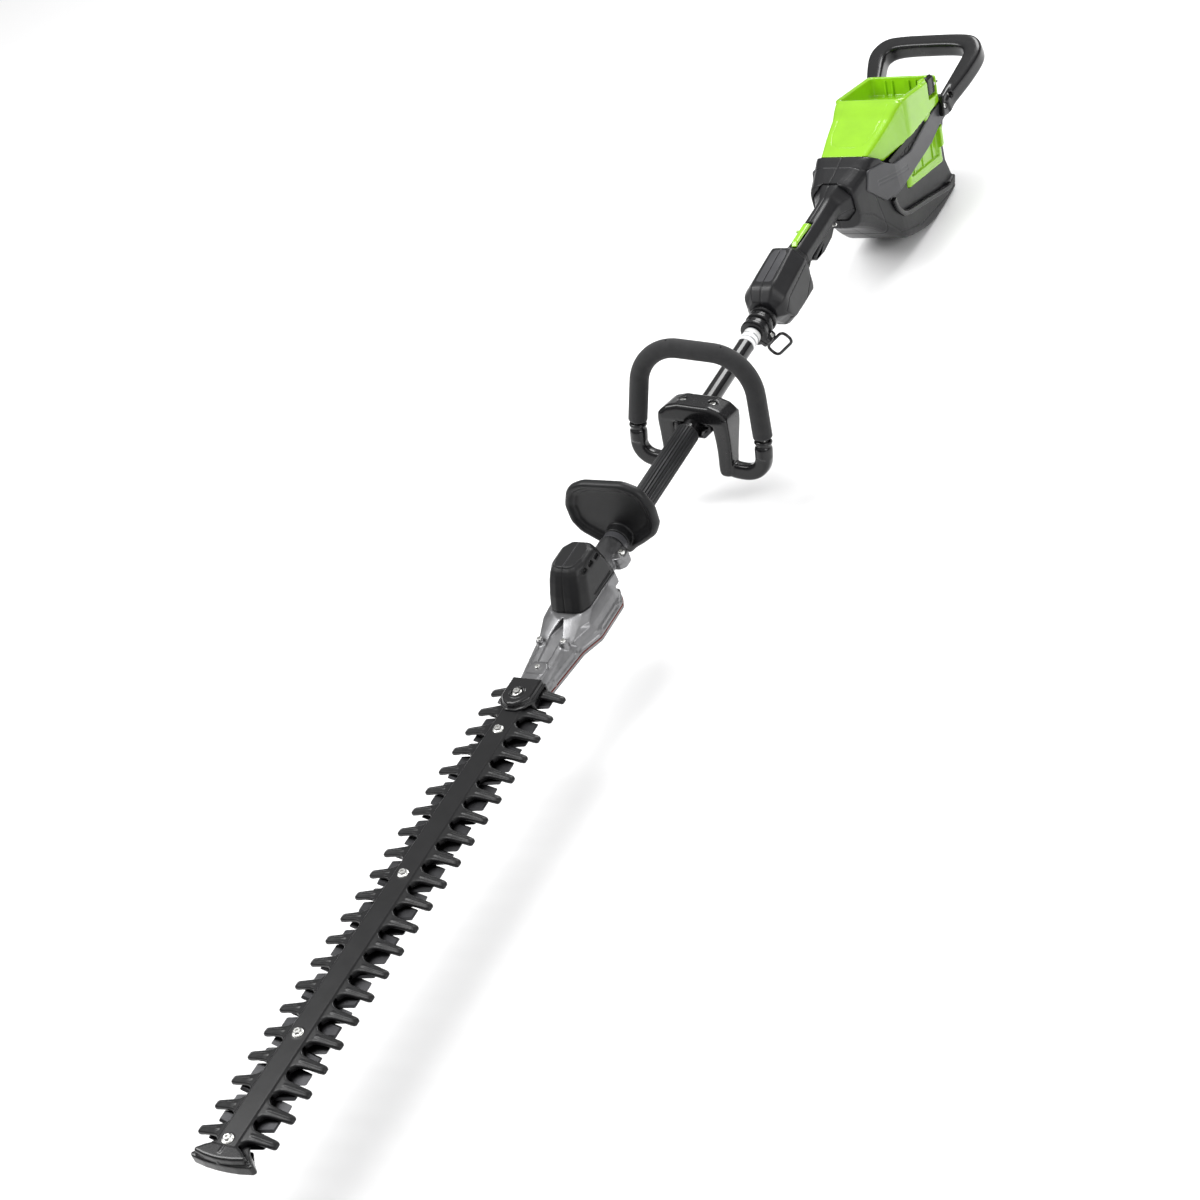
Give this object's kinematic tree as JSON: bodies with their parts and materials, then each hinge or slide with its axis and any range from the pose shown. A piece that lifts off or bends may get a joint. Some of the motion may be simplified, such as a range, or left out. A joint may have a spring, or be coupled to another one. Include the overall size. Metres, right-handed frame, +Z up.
{
  "type": "pole hedge trimmer",
  "caption": "Battery pole hedge trimmer: rear battery housing with bail handle, trigger grip, loop handle, gearbox head and double reciprocating blade under a guard comb.",
  "frame": {"origin": "middle of the tool's box, at the level of the rear housing's flat underside", "axes": "+X along the pole towards the blade's tip, +Y to the user's left, +Z up out of the loop handle"},
  "size_m": [2.222, 0.2176, 0.2603],
  "materials": {
    "pole_paint": "gloss black enamel",
    "black_plastic": "satin moulded black",
    "housing_plastic": "fine spark texture",
    "band_plastic": "satin dark grey",
    "green_plastic": "gloss lime green",
    "motor_cover_plastic": "matt black",
    "guard_plastic": "matt black",
    "foam": "closed cell foam",
    "sleeve_rubber": "fluted rubber",
    "label": "printed film",
    "cast_aluminium": "die cast",
    "gasket": "fibre gasket",
    "comb_steel": "black coated",
    "blade_steel": "blackened steel",
    "zinc_steel": "zinc plated",
    "machined_steel": "ground steel",
    "copper": "copper windings",
    "cable_jacket": "black jacket",
    "switch_plastic": "black moulding",
    "circuit_board": "green board",
    "contact_metal": "tinned brass"
  },
  "bodies": {
    "frame": {"pole_tube": "pole_paint", "loop_bracket": "black_plastic", "loop_clamp_lower": "black_plastic", "bail_handle": "black_plastic", "nose_cap": "black_plastic", "tip_guard": "black_plastic", "harness_collar": "black_plastic", "harness_ring": "black_plastic", "housing_left": "housing_plastic", "housing_right": "housing_plastic", "grip_shell_left": "housing_plastic", "grip_shell_right": "housing_plastic", "side_band_left": "band_plastic", "side_band_right": "band_plastic", "battery_bay": "green_plastic", "motor_cover_left": "motor_cover_plastic", "motor_cover_right": "motor_cover_plastic", "hand_guard": "guard_plastic", "guard_collar": "guard_plastic", "foam_grip": "foam", "grip_sleeve": "sleeve_rubber", "pole_label": "label", "gearbox_case": "cast_aluminium", "gearbox_cover": "cast_aluminium", "motor_can": "cast_aluminium", "gearbox_gasket": "gasket", "guard_comb": "comb_steel", "bottom_rail": "comb_steel", "loop_core": "zinc_steel", "loop_clamp_screws": "zinc_steel", "harness_screw": "zinc_steel", "cover_screws": "zinc_steel", "tube_clamp_screw": "zinc_steel", "blade_bolts": "zinc_steel", "blade_washers": "zinc_steel", "blade_nuts": "zinc_steel", "blade_bushes": "zinc_steel", "grip_pins": "zinc_steel", "latch_pin": "zinc_steel", "return_springs": "zinc_steel", "bail_screws": "zinc_steel", "housing_screws": "zinc_steel", "motor_bearings": "machined_steel", "gear_bearings": "machined_steel", "motor_stator": "copper", "power_cable": "cable_jacket", "trigger_switch": "switch_plastic", "controller_board": "circuit_board", "battery_contacts": "contact_metal"},
    "rotor": {"motor_rotor": "machined_steel", "cooling_fan": "motor_cover_plastic", "motor_shaft": "machined_steel"},
    "drive": {"drive_gear": "machined_steel", "crankshaft": "machined_steel"},
    "upper_blade": {"upper_blade": "blade_steel"},
    "lower_blade": {"lower_blade": "blade_steel"},
    "trigger": {"trigger": "housing_plastic"},
    "lock_off_lever": {"lock_off_lever": "green_plastic"},
    "battery_latch": {"battery_latch": "black_plastic"}
  },
  "joints": [
    {"name": "gear_spin", "type": "hinge", "parent": "frame", "child": "drive", "pos_m": [0.23037, 0, 0.14], "axis": [0, 0, 1], "continuous": true},
    {"name": "rotor_spin", "type": "hinge", "parent": "frame", "child": "rotor", "pos_m": [0.196, 0, 0.17], "axis": [0, 0, 1], "continuous": true},
    {"name": "upper_blade_slide", "type": "slide", "parent": "frame", "child": "upper_blade", "axis": [1, 0, 0], "range_m": [0, 0.022]},
    {"name": "lower_blade_slide", "type": "slide", "parent": "frame", "child": "lower_blade", "axis": [1, 0, 0], "range_m": [-0.022, 0]},
    {"name": "trigger_pull", "type": "hinge", "parent": "frame", "child": "trigger", "pos_m": [-0.636, 0, 0.148], "axis": [0, -1, 0], "range_deg": [0, 7], "stiffness_Nm_per_rad": 2, "springref_deg": -5.73},
    {"name": "lock_off_press", "type": "hinge", "parent": "frame", "child": "lock_off_lever", "pos_m": [-0.582, 0, 0.172], "axis": [0, 1, 0], "range_deg": [0, 6], "stiffness_Nm_per_rad": 1, "springref_deg": -5.73},
    {"name": "latch_press", "type": "hinge", "parent": "frame", "child": "battery_latch", "pos_m": [-0.95405, 0.0555, 0.18749], "axis": [0.9681, 0, 0.2504], "range_deg": [0, 7], "stiffness_Nm_per_rad": 0.3, "springref_deg": -5.73}
  ],
  "couplings": [
    {"joint": "rotor_spin", "follows": "gear_spin", "ratio": -4},
    {"joint": "lower_blade_slide", "follows": "upper_blade_slide", "ratio": -1}
  ]
}
